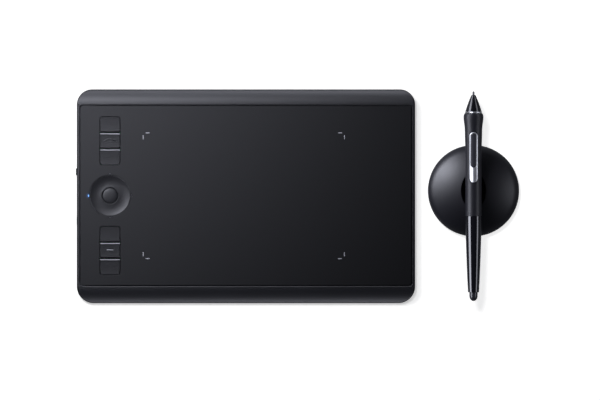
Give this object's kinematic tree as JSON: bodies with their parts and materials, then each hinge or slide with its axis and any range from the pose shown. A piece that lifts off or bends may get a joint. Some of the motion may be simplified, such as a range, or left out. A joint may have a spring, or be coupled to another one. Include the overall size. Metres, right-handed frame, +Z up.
{
  "type": "pen drawing tablet",
  "caption": "Slim dark drawing tablet with express keys and a touch ring, with a pressure pen lying across its round weighted stand.",
  "frame": {"origin": "middle of the whole set's footprint, on the surface it stands on", "axes": "+X along the tablet's long side, from the keys towards the pen stand; +Y towards the tablet's rear edge; +Z up from the desk"},
  "size_m": [0.3526, 0.17, 0.0342],
  "materials": {
    "casing": "dark grey satin, finely grained",
    "sheet": "near-black film with a fine paper-like tooth",
    "marking": "light grey print",
    "back_metal": "dark anodised, bead-blasted",
    "foot_rubber": "matt, slightly dusty",
    "screw_steel": "black-oxide steel",
    "key_plastic": "dark grey satin",
    "ring_plastic": "dark grey, half-gloss",
    "button_plastic": "dark grey, half-gloss",
    "lit_lens": "lit light guide, cool white",
    "dark_lens": "unlit light guide, smoked",
    "clear_film": "laminated sensor film",
    "board_green": "solder-masked board",
    "shield_steel": "thin rolled sheet",
    "chip_black": "moulded epoxy",
    "battery_wrap": "silvery grey pouch",
    "lead_insulation": "red insulation",
    "connector_white": "off-white nylon",
    "ribbon_film": "amber film",
    "switch_metal": "stamped switch cover",
    "lamp_white": "lamp package",
    "socket_steel": "drawn steel socket",
    "socket_black": "moulded tongue",
    "dome_gloss": "polished near-black",
    "base_plastic": "dark moulded plastic",
    "weight_steel": "turned steel",
    "nib_plastic": "dark grey wear-resistant plastic",
    "cone_gloss": "dark grey, polished",
    "bright_trim": "satin silver plating",
    "grip_rubber": "soft-touch rubber",
    "barrel_gloss": "polished near-black",
    "rocker_gloss": "dark grey, half-gloss",
    "core_plastic": "glass-filled plastic",
    "ferrite_grey": "sintered ferrite",
    "coil_copper": "enamelled copper wire",
    "eraser_plastic": "dark grey satin"
  },
  "bodies": {
    "tablet": {"front_housing": "casing", "drawing_sheet": "sheet", "corner_marks": "marking", "back_plate": "back_metal", "rubber_feet": "foot_rubber", "back_screws": "screw_steel", "touch_panel": "clear_film", "sensor_board": "board_green", "shield_plate": "shield_steel", "controls_board": "board_green", "main_board": "board_green", "board_chips": "chip_black", "battery": "battery_wrap", "battery_plug": "connector_white", "battery_leads": "lead_insulation", "ribbon_connectors": "connector_white", "ribbon_cable": "ribbon_film", "key_switches": "switch_metal", "touch_ring": "ring_plastic", "lit_window": "lit_lens", "dark_windows": "dark_lens", "ring_lamps": "lamp_white", "usb_shell": "socket_steel", "usb_tongue": "socket_black", "power_switch": "switch_metal", "slide_switch": "switch_metal"},
    "key_1": {"express_key_1": "key_plastic"},
    "key_2": {"express_key_2": "key_plastic"},
    "key_3": {"express_key_3": "key_plastic"},
    "key_4": {"express_key_4": "key_plastic"},
    "key_5": {"express_key_5": "key_plastic"},
    "key_6": {"express_key_6": "key_plastic"},
    "middle_button": {"ring_button": "button_plastic"},
    "power_key": {"power_button": "button_plastic"},
    "slider_knob": {"touch_slider": "button_plastic"},
    "stand_lower": {"stand_base": "base_plastic", "stand_foot_pad": "foot_rubber", "stand_weight": "weight_steel", "nib_tray": "base_plastic", "spare_nibs": "nib_plastic"},
    "stand_upper": {"stand_dome": "dome_gloss"},
    "pen": {"pen_nose_cone": "cone_gloss", "pen_trim_ring": "bright_trim", "pen_grip": "grip_rubber", "pen_bezel": "bright_trim", "pen_core": "core_plastic", "pen_barrel": "barrel_gloss", "pen_board": "board_green", "pen_coil": "coil_copper", "pen_ferrite": "ferrite_grey", "pen_pressure_sensor": "chip_black", "pen_switch_board": "board_green", "pen_tact_switches": "switch_metal", "pen_eraser_sensor": "chip_black"},
    "pen_point": {"pen_nib": "nib_plastic", "pen_nib_holder": "core_plastic"},
    "pen_rocker": {"pen_side_switch": "rocker_gloss"},
    "pen_tail": {"pen_eraser": "eraser_plastic"}
  },
  "joints": [
    {"name": "key_1_press", "type": "slide", "parent": "tablet", "child": "key_1", "axis": [0, 0, -1], "range_m": [0, 0.0005], "stiffness_N_per_m": 1200, "springref_m": -0.0003},
    {"name": "key_2_press", "type": "slide", "parent": "tablet", "child": "key_2", "axis": [0, 0, -1], "range_m": [0, 0.0005], "stiffness_N_per_m": 1200, "springref_m": -0.0003},
    {"name": "key_3_press", "type": "slide", "parent": "tablet", "child": "key_3", "axis": [0, 0, -1], "range_m": [0, 0.0005], "stiffness_N_per_m": 1200, "springref_m": -0.0003},
    {"name": "key_4_press", "type": "slide", "parent": "tablet", "child": "key_4", "axis": [0, 0, -1], "range_m": [0, 0.0005], "stiffness_N_per_m": 1200, "springref_m": -0.0003},
    {"name": "key_5_press", "type": "slide", "parent": "tablet", "child": "key_5", "axis": [0, 0, -1], "range_m": [0, 0.0005], "stiffness_N_per_m": 1200, "springref_m": -0.0003},
    {"name": "key_6_press", "type": "slide", "parent": "tablet", "child": "key_6", "axis": [0, 0, -1], "range_m": [0, 0.0005], "stiffness_N_per_m": 1200, "springref_m": -0.0003},
    {"name": "middle_button_press", "type": "slide", "parent": "tablet", "child": "middle_button", "axis": [0, 0, -1], "range_m": [0, 0.0005], "stiffness_N_per_m": 1200, "springref_m": -0.0003},
    {"name": "power_key_press", "type": "slide", "parent": "tablet", "child": "power_key", "axis": [1, 0, 0], "range_m": [0, 0.0004], "stiffness_N_per_m": 2000, "springref_m": -0.0003},
    {"name": "touch_slider_slide", "type": "slide", "parent": "tablet", "child": "slider_knob", "axis": [0, 1, 0], "range_m": [-0.0025, 0]},
    {"name": "stand_slide", "type": "slide", "parent": "tablet", "child": "stand_lower", "axis": [1, 0, 0], "range_m": [0, 0.08]},
    {"name": "dome_twist", "type": "hinge", "parent": "stand_lower", "child": "stand_upper", "pos_m": [0.13997, 0.0044, 0.006], "axis": [0, 0, 1], "range_deg": [0, 35]},
    {"name": "pen_lift", "type": "slide", "parent": "stand_upper", "child": "pen", "axis": [0, 0, 1], "range_m": [0, 0.06]},
    {"name": "nib_press", "type": "slide", "parent": "pen", "child": "pen_point", "axis": [0, -1, 0], "range_m": [0, 0.0003], "stiffness_N_per_m": 4000, "springref_m": -0.0001},
    {"name": "eraser_press", "type": "slide", "parent": "pen", "child": "pen_tail", "axis": [0, 1, 0], "range_m": [0, 0.0008], "stiffness_N_per_m": 1500, "springref_m": -0.0003},
    {"name": "side_switch_rock", "type": "hinge", "parent": "pen", "child": "pen_rocker", "pos_m": [0.13997, 0.0365, 0.03184], "axis": [1, 0, 0], "range_deg": [-2, 2], "stiffness_Nm_per_rad": 0.12}
  ]
}
